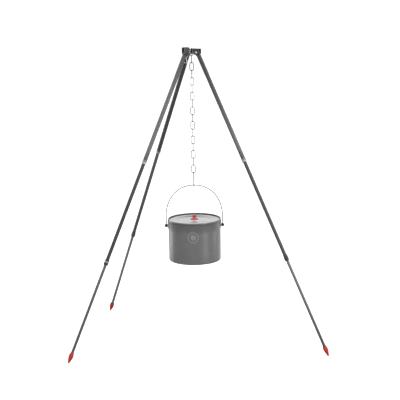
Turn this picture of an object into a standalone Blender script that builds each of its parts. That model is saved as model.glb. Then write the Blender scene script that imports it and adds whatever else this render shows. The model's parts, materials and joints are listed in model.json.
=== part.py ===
"""Campfire tripod with telescopic legs, a hanging chain and a lidded pot.

Metres, +Z up. The tripod stands on Z = 0. The head hangs the chain and the pot plumb below it.
"""

import math

import bmesh
import bpy
from mathutils import Matrix, Vector

# ---------------------------------------------------------------- driving dimensions

GAP = 0.0003  # clearance between pieces that touch
TUBE_SIDES = 16
POT_SIDES = 40
WIRE_SIDES = 6

# stance
PIVOT_HEIGHT = 1.302  # leg pivots above the ground
PIVOT_RADIUS = 0.029  # leg pivots out from the plumb line
FOOT_RADIUS = 0.6366  # foot tips out from the plumb line
LEG_AZIMUTHS = {"left": 210.0, "rear": 133.2, "right": 334.0}
PIVOT_STEPS = {"left": 0.0, "rear": -0.0100, "right": 0.0}  # pivots sideways from the radial line
BUTTON_SIDES = {"left": 1, "rear": 1, "right": -1}  # which side of a leg its buttons are on

# leg tubes: distances along a leg are measured down from its pivot
UPPER_RADIUS, UPPER_BORE = 0.0095, 0.0085
MIDDLE_RADIUS, MIDDLE_BORE = 0.00795, 0.00695
LOWER_RADIUS, LOWER_BORE = 0.00635, 0.00535
UPPER_START, UPPER_END = 0.012, 0.512
MIDDLE_END, LOWER_CUT = 0.978, 0.0177
TUBE_INSERTION = 0.060
BUTTON_SETBACK = 0.038  # a button's place above the end of its outer tube
BUTTON_SHOULDER = 0.74  # a button's flange, as a share of its tube's bore
FOOT_LENGTH = 0.048
FOOT_TIP_RADIUS = 0.003

# head
PIN_RADIUS = 0.003
BRACKET_GAP = 0.020  # between a bracket's two side plates
BRACKET_PLATE = 0.0025
BRACKET_BACK = 0.0167  # back wall's inner face, out from the plumb line
BRACKET_OUT = 0.041
BRACKET_TOPS = {"left": 0.0228, "rear": 0.0145, "right": 0.0160}
BRACKET_BOTTOM = -0.009
BLOCK_LOW, BLOCK_HIGH = -0.0085, 0.0165  # the hub's arms, from the pivots' height
WEB_LOW, WEB_HIGH = -0.0010, 0.0138  # the hub's back web
BAR_RADIUS = 0.0026
BAR_HEIGHT = PIVOT_HEIGHT + 0.0135
LUG_X, LUG_HEIGHT = -0.0145, PIVOT_HEIGHT - 0.0135  # the take-up hook's hole in the hub's lug
LUG_THICKNESS = 0.0026

# chain
RING_WIRE = 0.00175
RING_WIDTH, RING_LENGTH = 0.0165, 0.0338  # between wire centres
RING_YAW = 42.0
RING_SLACK = 0.00055  # the bar passes the ring at a slant, so the ring hangs a little lower
LINK_WIRE = 0.0016
LINK_WIDTH, LINK_LENGTH = 0.0168, 0.0353  # between wire centres
LINK_PAIRS = 8
LOOSE_CROSSING = 2 * LINK_WIRE + GAP  # between wire centres, where two pairs of links meet
TIGHT_CROSSING = 2 * LINK_WIRE - 0.0008  # inside a pair, whose two links are one piece
RING_CROSSING = RING_WIRE + LINK_WIRE + 0.00065
HOOK_WIRE = 0.0018
HOOK_BOW = 0.0070
TAKE_UP_WIRE = 0.0013

# pot
POT_RIM_TOP = 0.5629
POT_HEIGHT = 0.1893
POT_RIM_RADIUS = 0.1184
POT_TOP_RADIUS, POT_BOTTOM_RADIUS = 0.1174, 0.1168
POT_WALL = 0.0020
POT_FILLET = 0.006
LID_RADIUS = 0.1153
LID_THICKNESS = 0.0014
LID_TOP = POT_RIM_TOP - 0.0068
LID_BOSS = 0.0032  # how far the lid's middle rises above its panel
EAR_HEIGHT = 0.531  # bail pivots above the ground
EAR_FACE = 0.1190  # ear bridge's inner face, out from the pot's axis
EAR_PLATE = 0.0014
BAIL_WIRE = 0.0020
BAIL_HALF_WIDTH = 0.1262
BAIL_END = 0.1182  # its inward ends, out from the pot's axis
BAIL_APEX = 0.1825  # bail's top above its pivots
BAIL_SHOULDER = 0.040  # where the bail's sides start to curve in

DOWN_TILT = math.atan2(FOOT_RADIUS - PIVOT_RADIUS, PIVOT_HEIGHT - FOOT_TIP_RADIUS)
LEG_LENGTH = (PIVOT_HEIGHT - FOOT_TIP_RADIUS) / math.cos(DOWN_TILT) + FOOT_TIP_RADIUS


def beside(name, radius):
    """A point in the plane that a leg swings in, from the plumb line."""
    turn = math.radians(LEG_AZIMUTHS[name])
    step = PIVOT_STEPS[name]
    return Vector((
        radius * math.cos(turn) - step * math.sin(turn),
        radius * math.sin(turn) + step * math.cos(turn),
        0.0,
    ))


def plumb_line():
    """The head's place, so that the ground plan of the three foot tips is centred on the origin."""
    reach = PIVOT_RADIUS + (LEG_LENGTH - FOOT_TIP_RADIUS) * math.sin(DOWN_TILT)
    tips = [beside(name, reach) for name in LEG_AZIMUTHS]
    xs, ys = [p.x for p in tips], [p.y for p in tips]
    return Vector((-(min(xs) + max(xs)) / 2, -(min(ys) + max(ys)) / 2, 0.0))


PLUMB = plumb_line()

# ---------------------------------------------------------------- scene and materials


def clear_scene():
    for obj in list(bpy.data.objects):
        bpy.data.objects.remove(obj, do_unlink=True)


def material(name, colour, roughness, metallic):
    mat = bpy.data.materials.new(name)
    mat.use_nodes = True
    shader = mat.node_tree.nodes["Principled BSDF"]
    shader.inputs["Base Color"].default_value = (*colour, 1.0)
    shader.inputs["Roughness"].default_value = roughness
    shader.inputs["Metallic"].default_value = metallic
    return mat


def make_materials():
    return {
        "leg_paint": material("leg_paint", (0.12, 0.12, 0.12), 0.45, 0.3),
        "head_paint": material("head_paint", (0.05, 0.05, 0.05), 0.5, 0.2),
        "bright_steel": material("bright_steel", (0.65, 0.65, 0.66), 0.3, 1.0),
        "collar_plastic": material("collar_plastic", (0.03, 0.03, 0.03), 0.5, 0.0),
        "foot_rubber": material("foot_rubber", (0.55, 0.03, 0.03), 0.5, 0.0),
        "pot_enamel": material("pot_enamel", (0.16, 0.16, 0.165), 0.5, 0.4),
        "lid_aluminium": material("lid_aluminium", (0.6, 0.6, 0.6), 0.35, 1.0),
        "knob_plastic": material("knob_plastic", (0.7, 0.04, 0.03), 0.4, 0.0),
        "stop_plastic": material("stop_plastic", (0.02, 0.02, 0.02), 0.5, 0.0),
    }


# ---------------------------------------------------------------- mesh helpers


def add_object(name, bm, mat, place=None, parent=None, smooth=True):
    bmesh.ops.recalc_face_normals(bm, faces=bm.faces)
    mesh = bpy.data.meshes.new(name)
    bm.to_mesh(mesh)
    bm.free()
    if smooth:
        mesh.shade_smooth()
        mesh.set_sharp_from_angle(angle=math.radians(35))
    obj = bpy.data.objects.new(name, mesh)
    bpy.context.scene.collection.objects.link(obj)
    if mat:
        mesh.materials.append(mat)
    if parent:
        obj.parent = parent
    if place:
        obj.matrix_local = place
    return obj


def add_empty(name, place, parent=None):
    empty = bpy.data.objects.new(name, None)
    bpy.context.scene.collection.objects.link(empty)
    if parent:
        empty.parent = parent
    empty.matrix_local = place
    return empty


def lathe(bm, profile, segments, matrix=Matrix.Identity(4)):
    """Turn a closed loop of (radius, height) points about Z. Points on the axis become poles."""
    rings = []
    for radius, height in profile:
        if radius < 1e-9:
            rings.append([bm.verts.new(matrix @ Vector((0, 0, height)))])
            continue
        ring = []
        for i in range(segments):
            turn = 2 * math.pi * i / segments
            point = Vector((radius * math.cos(turn), radius * math.sin(turn), height))
            ring.append(bm.verts.new(matrix @ point))
        rings.append(ring)
    count = len(rings)
    for k in range(count):
        a, b = rings[k], rings[(k + 1) % count]
        if len(a) == 1 and len(b) == 1:
            continue
        for i in range(segments):
            j = (i + 1) % segments
            if len(a) == 1:
                bm.faces.new((a[0], b[j], b[i]))
            elif len(b) == 1:
                bm.faces.new((a[i], a[j], b[0]))
            else:
                bm.faces.new((a[i], a[j], b[j], b[i]))
    return bm


def prism(bm, outline, low, high, matrix=Matrix.Identity(4)):
    """Extrude a closed outline of (x, y) points from z = low to z = high."""
    bottom = [bm.verts.new(matrix @ Vector((x, y, low))) for x, y in outline]
    top = [bm.verts.new(matrix @ Vector((x, y, high))) for x, y in outline]
    bm.faces.new(bottom[::-1])
    bm.faces.new(top)
    for i in range(len(outline)):
        j = (i + 1) % len(outline)
        bm.faces.new((bottom[i], bottom[j], top[j], top[i]))
    return bm


def sweep(bm, points, radius, sides, closed=False, matrix=Matrix.Identity(4), roll=0.0):
    """A round wire through the points, with flat ends unless it is closed."""
    points = [Vector(p) for p in points]
    count = len(points)
    tangents = []
    for i in range(count):
        before = points[i - 1] if closed or i else points[i]
        after = points[(i + 1) % count] if closed or i < count - 1 else points[i]
        tangents.append((after - before).normalized())
    side = tangents[0].orthogonal().normalized()
    side = Matrix.Rotation(roll, 3, tangents[0]) @ side
    rings = []
    for i in range(count):
        if i:
            side = tangents[i - 1].rotation_difference(tangents[i]) @ side
        across = tangents[i].cross(side).normalized()
        ring = []
        for k in range(sides):
            turn = 2 * math.pi * (k + 0.5) / sides
            offset = side * (radius * math.cos(turn)) + across * (radius * math.sin(turn))
            ring.append(bm.verts.new(matrix @ (points[i] + offset)))
        rings.append(ring)
    for i in range(count if closed else count - 1):
        a, b = rings[i], rings[(i + 1) % count]
        for k in range(sides):
            m = (k + 1) % sides
            bm.faces.new((a[k], a[m], b[m], b[k]))
    if not closed:
        bm.faces.new(rings[0][::-1])
        bm.faces.new(rings[-1])
    return bm


def arc(centre, radius, start, end, steps):
    """Points (u, v) on an arc, angles in degrees from +u towards +v."""
    found = []
    for i in range(steps + 1):
        turn = math.radians(start + (end - start) * i / steps)
        found.append((centre[0] + radius * math.cos(turn), centre[1] + radius * math.sin(turn)))
    return found


def ribbon(centre, thickness):
    """The closed outline of a strip of even thickness along a line of (u, v) points."""
    left, right = [], []
    for i, point in enumerate(centre):
        before = centre[max(i - 1, 0)]
        after = centre[min(i + 1, len(centre) - 1)]
        run = Vector(after) - Vector(before)
        across = Vector((-run.y, run.x)).normalized() * (thickness / 2)
        left.append((point[0] + across.x, point[1] + across.y))
        right.append((point[0] - across.x, point[1] - across.y))
    return left + right[::-1]


def oval_points(width, length, steps):
    """A chain link's centre line in the XZ plane, its top bow's middle at the origin."""
    bow = width / 2
    top = arc((0, -bow), bow, 0, 180, steps)
    bottom = arc((0, bow - length), bow, 180, 360, steps)
    return [(u, 0, v) for u, v in top + bottom]


def cut(obj, cutter):
    cutter.hide_render = True
    cutter.display_type = "WIRE"
    boolean = obj.modifiers.new("cut_" + cutter.name, "BOOLEAN")
    boolean.operation = "DIFFERENCE"
    boolean.solver = "EXACT"
    boolean.object = cutter


def join(obj, other):
    other.hide_render = True
    other.display_type = "WIRE"
    boolean = obj.modifiers.new("join_" + other.name, "BOOLEAN")
    boolean.operation = "UNION"
    boolean.solver = "EXACT"
    boolean.object = other


def cylinder(name, radius, low, high, place, parent=None, segments=TUBE_SIDES):
    """A solid cylinder along local Z, used as a cutter or joined to another piece."""
    bm = lathe(bmesh.new(), [(0, low), (radius, low), (radius, high), (0, high)], segments)
    return add_object(name, bm, None, place, parent)


def along_y():
    """A frame whose Z runs along its parent's Y, and whose Y points down."""
    return Matrix.Rotation(math.radians(-90), 4, "X")


def along_x(distance=0.0):
    """A frame whose Z runs along its parent's X, moved along the parent's Z."""
    return Matrix.Translation((0, 0, distance)) @ Matrix.Rotation(math.radians(90), 4, "Y")


def tube_profile(outer, bore, start, end):
    edge = 0.0004
    return [
        (bore, start),
        (bore, end),
        (outer - edge, end),
        (outer, end - edge),
        (outer, start + edge),
        (outer - edge, start),
    ]


# ---------------------------------------------------------------- frames


def upright(name, radius=0.0, height=0.0):
    """X along a leg's hinge, Y inwards, Z up, at a distance out from the plumb line."""
    turn = math.radians(LEG_AZIMUTHS[name])
    outward = Vector((math.cos(turn), math.sin(turn), 0))
    tangent = Vector((-math.sin(turn), math.cos(turn), 0))
    frame = Matrix((tangent, -outward, Vector((0, 0, 1)))).transposed().to_4x4()
    place = PLUMB + beside(name, radius) + Vector((0, 0, height))
    return Matrix.Translation(place) @ frame


def leg_frame(name):
    """At a leg's pivot: X along the hinge, Z down the leg, Y out of the leg's upper side."""
    turn = math.radians(LEG_AZIMUTHS[name])
    outward = Vector((math.cos(turn), math.sin(turn), 0))
    tangent = Vector((-math.sin(turn), math.cos(turn), 0))
    down = outward * math.sin(DOWN_TILT) - Vector((0, 0, math.cos(DOWN_TILT)))
    frame = Matrix((tangent, down.cross(tangent), down)).transposed().to_4x4()
    place = PLUMB + beside(name, PIVOT_RADIUS) + Vector((0, 0, PIVOT_HEIGHT))
    return Matrix.Translation(place) @ frame


# ---------------------------------------------------------------- head


def hub_outline():
    """Plan of the hub: a C whose flat flanks face the legs' brackets, open to the front."""
    outer = [(-0.0092, -0.0166), (-0.0192, 0.0005), (-0.0180, 0.0050), (0.0022, 0.0240)]
    outer += [(0.0130, 0.0200), (0.0188, 0.0010), (0.0106, -0.0160)]
    inner = [(0.0086, -0.0090), (0.0086, 0.0142), (-0.0010, 0.0142), (-0.0112, 0.0060)]
    inner += [(-0.0112, -0.0060), (-0.0064, -0.0145)]
    return outer + inner


def make_hub(mats):
    """A C-shaped block that carries the brackets, and the round bar that the ring hangs on.

    A lug under its left arm holds the take-up hook. Its back web is shallower than its arms.
    """
    place = Matrix.Translation(PLUMB + Vector((0, 0, PIVOT_HEIGHT)))
    bm = prism(bmesh.new(), hub_outline(), BLOCK_LOW, BLOCK_HIGH)
    hub = add_object("hub", bm, mats["head_paint"], place, smooth=False)
    relief = [(-0.0100, -0.0020), (0.0082, -0.0020), (0.0082, 0.0400), (-0.0100, 0.0400)]
    for label, low, high in (("under", BLOCK_LOW - 0.01, WEB_LOW), ("over", WEB_HIGH, BLOCK_HIGH + 0.01)):
        bm = prism(bmesh.new(), relief, low, high)
        cut(hub, add_object("hub_relief_" + label, bm, None, place))
    bar_place = Matrix.Translation(PLUMB + Vector((0, 0, BAR_HEIGHT))) @ along_x()
    join(hub, cylinder("hub_bar", BAR_RADIUS, -0.0145, 0.0115, bar_place, segments=20))
    lug_place = Matrix.Translation(PLUMB + Vector((LUG_X, 0, LUG_HEIGHT))) @ along_y()
    half = 0.0032
    outline = [(-half, -0.0060), (half, -0.0060)] + arc((0, 0), half, 0, 180, 8)
    bm = prism(bmesh.new(), outline, -LUG_THICKNESS / 2, LUG_THICKNESS / 2)
    join(hub, add_object("hub_lug", bm, None, lug_place))
    cut(hub, cylinder("hub_lug_hole", TAKE_UP_WIRE + GAP, -0.01, 0.01, lug_place, segments=12))


def make_bracket(name, mats):
    """A U of pressed plate, welded to the hub and open outwards, that a leg swings in."""
    place = upright(name, 0, PIVOT_HEIGHT)
    side = BRACKET_GAP / 2 + BRACKET_PLATE
    top = BRACKET_TOPS[name]
    outline = [
        (BRACKET_BACK, BRACKET_BOTTOM + 0.001),
        (BRACKET_BACK, top),
        (BRACKET_OUT - 0.0020, top),
        (BRACKET_OUT, top - 0.0020),
        (BRACKET_OUT, -0.0030),
        (BRACKET_OUT - 0.0060, BRACKET_BOTTOM),
        (BRACKET_BACK + 0.001, BRACKET_BOTTOM),
    ]
    # outlines are (out from the plumb line, up), extruded along the hinge
    swing = Matrix(((0, 0, 1), (-1, 0, 0), (0, 1, 0))).to_4x4()
    bm = prism(bmesh.new(), outline, -side, side, swing)
    bracket = add_object("bracket_" + name, bm, mats["head_paint"], place, smooth=False)
    inner = BRACKET_BACK + BRACKET_PLATE
    slot = [(inner, -0.05), (0.09, -0.05), (0.09, 0.05), (inner, 0.05)]
    bm = prism(bmesh.new(), slot, -BRACKET_GAP / 2, BRACKET_GAP / 2, swing)
    cut(bracket, add_object("bracket_slot_" + name, bm, None, place))
    hole_place = upright(name, PIVOT_RADIUS, PIVOT_HEIGHT) @ along_x()
    cut(bracket, cylinder("bracket_hole_" + name, PIN_RADIUS + GAP, -0.05, 0.05, hole_place))


def make_pivot_pin(name, mats):
    """A rivet through a bracket and a leg's plug, its domed head on the side that shows.

    Only the right one is bright: the others are painted over with the head.
    """
    side = BRACKET_GAP / 2 + BRACKET_PLATE + GAP
    profile = [
        (0, -side - 0.0022),
        (0.0040, -side - 0.0018),
        (0.0050, -side),
        (PIN_RADIUS, -side),
        (PIN_RADIUS, side),
        (0.0050, side),
        (0.0050, side + 0.0012),
        (0.0038, side + 0.0026),
        (0, side + 0.0032),
    ]
    turn = Matrix.Rotation(math.radians(90 * BUTTON_SIDES[name]), 4, "Y")
    place = upright(name, PIVOT_RADIUS, PIVOT_HEIGHT) @ turn
    mat = mats["bright_steel" if name == "right" else "head_paint"]
    add_object("pivot_pin_" + name, lathe(bmesh.new(), profile, TUBE_SIDES), mat, place)


# ---------------------------------------------------------------- legs


def make_top_plug(leg, frame, mats):
    """A plug in the top of the upper tube, with a tongue that turns on the pivot pin.

    The tongue's heel meets the bracket's back wall when the leg is fully spread.
    """
    half, thick, heel = 0.0092, 0.0090, 0.0101
    heel_turn = DOWN_TILT + math.radians(21)
    outline = [(half, 0.0115), (half, 0.0), (heel * math.cos(heel_turn), -heel * math.sin(heel_turn))]
    outline += arc((0, 0), half, -60, -180, 8)
    outline += [(-half, 0.0115)]
    # the outline is (towards the plumb line, down the leg), extruded along the hinge
    swing = Matrix(((0, 0, 1), (-1, 0, 0), (0, 1, 0))).to_4x4()
    bm = prism(bmesh.new(), outline, -thick, thick, swing)
    plug = add_object(leg + "_top_plug", bm, mats["collar_plastic"], parent=frame, smooth=False)
    join(plug, cylinder(leg + "_plug_stem", UPPER_BORE - GAP, 0.008, 0.034, Matrix(), frame))
    cut(plug, cylinder(leg + "_plug_hole", PIN_RADIUS + GAP, -0.02, 0.02, along_x(), frame))


def make_tube(name, radii, ends, frame, mats, holes, side):
    bm = lathe(bmesh.new(), tube_profile(*radii, *ends), TUBE_SIDES)
    tube = add_object(name, bm, mats["leg_paint"], parent=frame)
    for index, (distance, hole_radius) in enumerate(holes):
        place = along_x(distance)
        low, high = sorted((side * 0.002, side * 0.02))
        label = f"{name}_hole_{index}"
        cut(tube, cylinder(label, hole_radius, low, high, place, frame, 12))


def make_collar(name, outer, radii, end, length, lip, bulge, mat, frame):
    """A ferrule over a tube's end, with a lip that closes the gap round the inner tube."""
    tube_radius, inner_radius = radii
    over = tube_radius + GAP
    profile = [
        (over, end - length),
        (over, end + GAP),
        (inner_radius + GAP, end + GAP),
        (inner_radius + GAP, end + lip),
        (outer - 0.0008, end + lip),
        (outer, end + lip - 0.0010),
        (outer, end - length * bulge),
        (over + 0.0006, end - length),
    ]
    add_object(name, lathe(bmesh.new(), profile, TUBE_SIDES), mat, parent=frame)


def make_foot(leg, frame, mats):
    """A pointed cap over the end of the lower tube, widest at its shoulder."""
    top = LEG_LENGTH - FOOT_LENGTH
    socket = LOWER_RADIUS + GAP
    bottom = LEG_LENGTH - LOWER_CUT
    tip_centre = LEG_LENGTH - FOOT_TIP_RADIUS
    tip = [(FOOT_TIP_RADIUS * math.cos(t), tip_centre + FOOT_TIP_RADIUS * math.sin(t))
           for t in (math.radians(a) for a in (15, 45, 70))]
    profile = [(0, bottom), (socket, bottom), (socket, top), (0.0084, top), (0.0094, top + 0.003)]
    profile += [(0.0106, top + 0.013), (0.0104, top + 0.018), (0.0086, top + 0.028)]
    profile += tip + [(0, LEG_LENGTH)]
    add_object(leg + "_foot", lathe(bmesh.new(), profile, TUBE_SIDES), mats["foot_rubber"], parent=frame)


def make_button(name, distance, tube_radius, bore, side, frame, mats):
    """A snap button whose round tip stands in a hole of the inner tube, flanged inside it."""
    tip = tube_radius + 0.00020
    shoulder = bore * BUTTON_SHOULDER
    head = 0.0030 if bore > 0.006 else 0.0024
    flange = head * 1.22
    profile = [
        (0, shoulder - 0.0028),
        (0.0016, shoulder - 0.0028),
        (0.0016, shoulder - 0.0010),
        (flange, shoulder - 0.0010),
        (flange, shoulder),
        (head, shoulder),
        (head, tip - 0.0006),
        (head * 0.7, tip - 0.0001),
        (0, tip),
    ]
    turn = Matrix.Rotation(math.radians(90 * side), 4, "Y")
    place = Matrix.Translation((0, 0, distance)) @ turn
    add_object(name, lathe(bmesh.new(), profile, 10), mats["bright_steel"], place, frame)


def make_button_spring(name, distance, bore, side, frame, mats):
    """A leaf bent to a V: it lies along the far wall and rises under the button's stem."""
    thick = 0.0005
    wall = -bore * 0.81
    rise = BUTTON_SHOULDER * bore - 0.0062
    bend = (rise - wall) / 2
    centre = [(wall, 0.016), (wall, -0.016)]
    centre += arc((wall + bend, -0.016), bend, 210, 330, 3)
    centre += [(rise, -0.016), (rise, 0.006)]
    half = 0.0022
    # the outline is (towards the button, down the leg), extruded across the tube
    swing = Matrix(((side, 0, 0), (0, 0, -side), (0, 1, 0))).to_4x4()
    place = Matrix.Translation((0, 0, distance)) @ swing
    bm = prism(bmesh.new(), ribbon(centre, thick), -half, half)
    add_object(name, bm, mats["bright_steel"], place, frame, smooth=False)


def make_leg(name, mats):
    leg = "leg_" + name
    side = BUTTON_SIDES[name]
    frame = add_empty(leg + "_pivot", leg_frame(name))
    button_1 = UPPER_END - BUTTON_SETBACK
    button_2 = MIDDLE_END - BUTTON_SETBACK
    lower_end = LEG_LENGTH - LOWER_CUT - GAP
    make_top_plug(leg, frame, mats)
    upper = (UPPER_RADIUS, UPPER_BORE)
    middle = (MIDDLE_RADIUS, MIDDLE_BORE)
    lower = (LOWER_RADIUS, LOWER_BORE)
    make_tube(leg + "_upper_tube", upper, (UPPER_START, UPPER_END), frame, mats,
              [(button_1, 0.0036)], side)
    make_tube(leg + "_middle_tube", middle, (UPPER_END - TUBE_INSERTION, MIDDLE_END), frame, mats,
              [(button_1, 0.0033), (button_2, 0.0030)], side)
    make_tube(leg + "_lower_tube", lower, (MIDDLE_END - TUBE_INSERTION, lower_end), frame, mats,
              [(button_2, 0.0027)], side)
    make_collar(leg + "_ferrule", 0.0107, (UPPER_RADIUS, MIDDLE_RADIUS), UPPER_END, 0.0105, 0.0062,
                0.9, mats["bright_steel"], frame)
    make_collar(leg + "_collar", 0.0101, (MIDDLE_RADIUS, LOWER_RADIUS), MIDDLE_END, 0.0205, 0.0075,
                0.55, mats["collar_plastic"], frame)
    make_foot(leg, frame, mats)
    make_button(leg + "_upper_button", button_1, MIDDLE_RADIUS, MIDDLE_BORE, side, frame, mats)
    make_button(leg + "_lower_button", button_2, LOWER_RADIUS, LOWER_BORE, side, frame, mats)
    make_button_spring(leg + "_upper_spring", button_1, MIDDLE_BORE, side, frame, mats)
    make_button_spring(leg + "_lower_spring", button_2, LOWER_BORE, side, frame, mats)


# ---------------------------------------------------------------- ring, chain and hooks


def ring_seat():
    """Height of the ring's lower wire, where the first link hangs."""
    return BAR_HEIGHT + BAR_RADIUS + RING_SLACK + RING_WIRE - RING_LENGTH


def pair_top(pair):
    """Height of the middle of a pair's top bow, pairs counted from 0."""
    pitch = 2 * LINK_LENGTH - LOOSE_CROSSING - TIGHT_CROSSING
    return ring_seat() + RING_CROSSING - pair * pitch


def chain_end():
    """Height of the last link's lower wire."""
    return pair_top(LINK_PAIRS - 1) - 2 * LINK_LENGTH + TIGHT_CROSSING


def on_plumb(height):
    return Matrix.Translation(PLUMB + Vector((0, 0, height)))


def make_ring(mats):
    """An oval ring that swings on the hub's bar, its origin on the bar's axis."""
    points = oval_points(RING_WIDTH, RING_LENGTH, 8)
    turn = Matrix.Rotation(math.radians(RING_YAW), 4, "Z")
    turn = Matrix.Translation((0, 0, ring_seat() + RING_LENGTH - BAR_HEIGHT)) @ turn
    bm = sweep(bmesh.new(), points, RING_WIRE, 8, closed=True, matrix=turn)
    add_object("hanging_ring", bm, mats["bright_steel"], on_plumb(BAR_HEIGHT))


def make_chain(mats):
    """Links in pairs: the first of a pair edge on, the second face on.

    A pair's origin is the point that it swings on: its own top wire, or the wire it hangs from.
    """
    points = oval_points(LINK_WIDTH, LINK_LENGTH, 6)
    quarter = Matrix.Rotation(math.radians(90), 4, "Z")
    for pair in range(LINK_PAIRS):
        drop = LOOSE_CROSSING if pair % 2 else 0.0
        place = on_plumb(pair_top(pair) - drop)
        upper = Matrix.Translation((0, 0, drop)) @ quarter
        lower = Matrix.Translation((0, 0, drop + TIGHT_CROSSING - LINK_LENGTH))
        name = f"chain_links_{pair + 1}"
        bm = sweep(bmesh.new(), points, LINK_WIRE, WIRE_SIDES, closed=True, matrix=upper)
        links = add_object(name, bm, mats["bright_steel"], place)
        bm = sweep(bmesh.new(), points, LINK_WIRE, WIRE_SIDES, closed=True, matrix=lower)
        join(links, add_object(name + "_lower", bm, None, place))


def make_pot_hook(mats):
    """An S of wire in the YZ plane: its top bow in the last link, its bottom bow under the bail."""
    top = chain_end() + LINK_WIRE + GAP + HOOK_WIRE
    bottom = EAR_HEIGHT + BAIL_APEX - BAIL_WIRE - GAP - HOOK_WIRE
    upper = arc((0, -HOOK_BOW), HOOK_BOW, -35, 175, 9)
    lower = arc((0, bottom - top + HOOK_BOW), HOOK_BOW, -5, -215, 9)
    points = [(0, u, v) for u, v in upper + lower]
    bm = sweep(bmesh.new(), points, HOOK_WIRE, 8)
    add_object("pot_hook", bm, mats["bright_steel"], on_plumb(top))


def make_take_up_hook(mats):
    """A J of wire whose bent top turns in the hub's lug, kept in by a flattened end."""
    place = Matrix.Translation(PLUMB + Vector((LUG_X, 0, LUG_HEIGHT)))
    front = -0.0042
    points = [(0, 0.0026, 0), (0, -0.0026, 0), (-0.0004, front + 0.0004, -0.0006)]
    points += [(-0.0018, front, -0.0024)]
    points += [(-0.0080, front, -0.0105), (-0.0088, front, -0.0130), (-0.0080, front, -0.0160)]
    points += [(-0.0055, front, -0.0225), (-0.0054, front, -0.0262)]
    points += [(x, front, z) for x, z in arc((-0.0108, -0.0278), 0.0056, -10, -170, 7)]
    points += [(-0.0178, front, -0.0252)]
    bm = sweep(bmesh.new(), points, TAKE_UP_WIRE, WIRE_SIDES)
    hook = add_object("take_up_hook", bm, mats["bright_steel"], place)
    end = [(0, -0.0010), (0.0022, -0.0010), (0.0022, 0.0008), (0, 0.0008)]
    end_place = place @ Matrix.Translation((0, 0.0027, 0)) @ along_y()
    join(hook, add_object("take_up_hook_end", lathe(bmesh.new(), end, 12), None, end_place))


# ---------------------------------------------------------------- pot, lid, ears and bail


def make_pot(mats):
    low = POT_RIM_TOP - POT_HEIGHT
    wall_top = POT_RIM_TOP - 0.0075
    outer = [(0, low), (POT_BOTTOM_RADIUS - POT_FILLET, low)]
    outer += arc((POT_BOTTOM_RADIUS - POT_FILLET, low + POT_FILLET), POT_FILLET, -66, 0, 3)
    outer += [(POT_TOP_RADIUS, wall_top), (POT_RIM_RADIUS, wall_top + 0.0015)]
    outer += [(POT_RIM_RADIUS, POT_RIM_TOP - 0.0010), (POT_RIM_RADIUS - 0.0010, POT_RIM_TOP)]
    bore = POT_TOP_RADIUS - POT_WALL
    ledge = LID_TOP - LID_THICKNESS - GAP
    inner = [(bore + 0.0004, POT_RIM_TOP), (bore + 0.0002, ledge), (0.1122, ledge)]
    inner += [(0.1122, ledge - 0.0030), (bore, ledge - 0.0050)]
    inner_fillet = POT_FILLET - POT_WALL
    centre = (POT_BOTTOM_RADIUS - POT_FILLET, low + POT_FILLET)
    inner += arc(centre, inner_fillet, 0, -90, 3)
    inner += [(0, low + POT_WALL)]
    bm = lathe(bmesh.new(), outer + inner, POT_SIDES, Matrix.Translation((0, 0, -EAR_HEIGHT)))
    add_object("pot", bm, mats["pot_enamel"], on_plumb(EAR_HEIGHT))


def make_lid(mats):
    """A plate with a flange that rests on the pot's ledge and a raised boss under its knob."""
    panel = LID_TOP - 0.0016
    hole = 0.0028
    profile = [
        (hole, panel + LID_BOSS),
        (0.0210, panel + LID_BOSS),
        (0.0290, panel),
        (0.1040, panel),
        (0.1065, LID_TOP - 0.0003),
        (0.1085, LID_TOP),
        (LID_RADIUS - 0.0006, LID_TOP),
        (LID_RADIUS, LID_TOP - 0.0006),
        (LID_RADIUS, LID_TOP - LID_THICKNESS),
        (0.1085, LID_TOP - LID_THICKNESS),
        (0.1060, panel - LID_THICKNESS),
        (0.0280, panel - LID_THICKNESS),
        (0.0200, panel + LID_BOSS - LID_THICKNESS),
        (hole, panel + LID_BOSS - LID_THICKNESS),
    ]
    place = Matrix.Translation(PLUMB)
    add_object("lid", lathe(bmesh.new(), profile, POT_SIDES), mats["lid_aluminium"], place)
    base = panel + LID_BOSS + GAP
    bore, depth = 0.0028, 0.0118
    knob = [
        (0, base + depth),
        (bore, base + depth),
        (bore, base),
        (0.0174, base),
        (0.0178, base + 0.0012),
        (0.0163, base + 0.0030),
        (0.0112, base + 0.0056),
        (0.0076, base + 0.0092),
        (0.0067, base + 0.0130),
        (0.0074, base + 0.0160),
        (0.0080, base + 0.0182),
        (0.0070, base + 0.0199),
        (0, base + 0.0207),
    ]
    add_object("lid_knob", lathe(bmesh.new(), knob, 20), mats["knob_plastic"], place)
    under = panel + LID_BOSS - LID_THICKNESS - GAP
    shank = 0.0025
    screw = [(0, under - 0.0026), (0.0034, under - 0.0026), (0.0048, under - 0.0010), (0.0048, under)]
    screw += [(shank, under), (shank, base + depth - 0.0010), (0, base + depth - 0.0010)]
    add_object("lid_screw", lathe(bmesh.new(), screw, 12), mats["bright_steel"], place)


def wall_points(radius, turns):
    return [(radius * math.cos(math.radians(a)), radius * math.sin(math.radians(a))) for a in turns]


def ear_outline():
    """A bridge in plan: flanges that follow the pot's wall and a flat that stands off it."""
    wall = POT_TOP_RADIUS + GAP
    inner = wall_points(wall, (-11, -8.5, -6)) + [(EAR_FACE, -0.0105)]
    outer = wall_points(wall + EAR_PLATE, (-11, -8.5, -6.6)) + [(EAR_FACE + EAR_PLATE, -0.0118)]
    inner += [(x, -y) for x, y in inner[::-1]]
    outer += [(x, -y) for x, y in outer[::-1]]
    return inner + outer[::-1]


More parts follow.
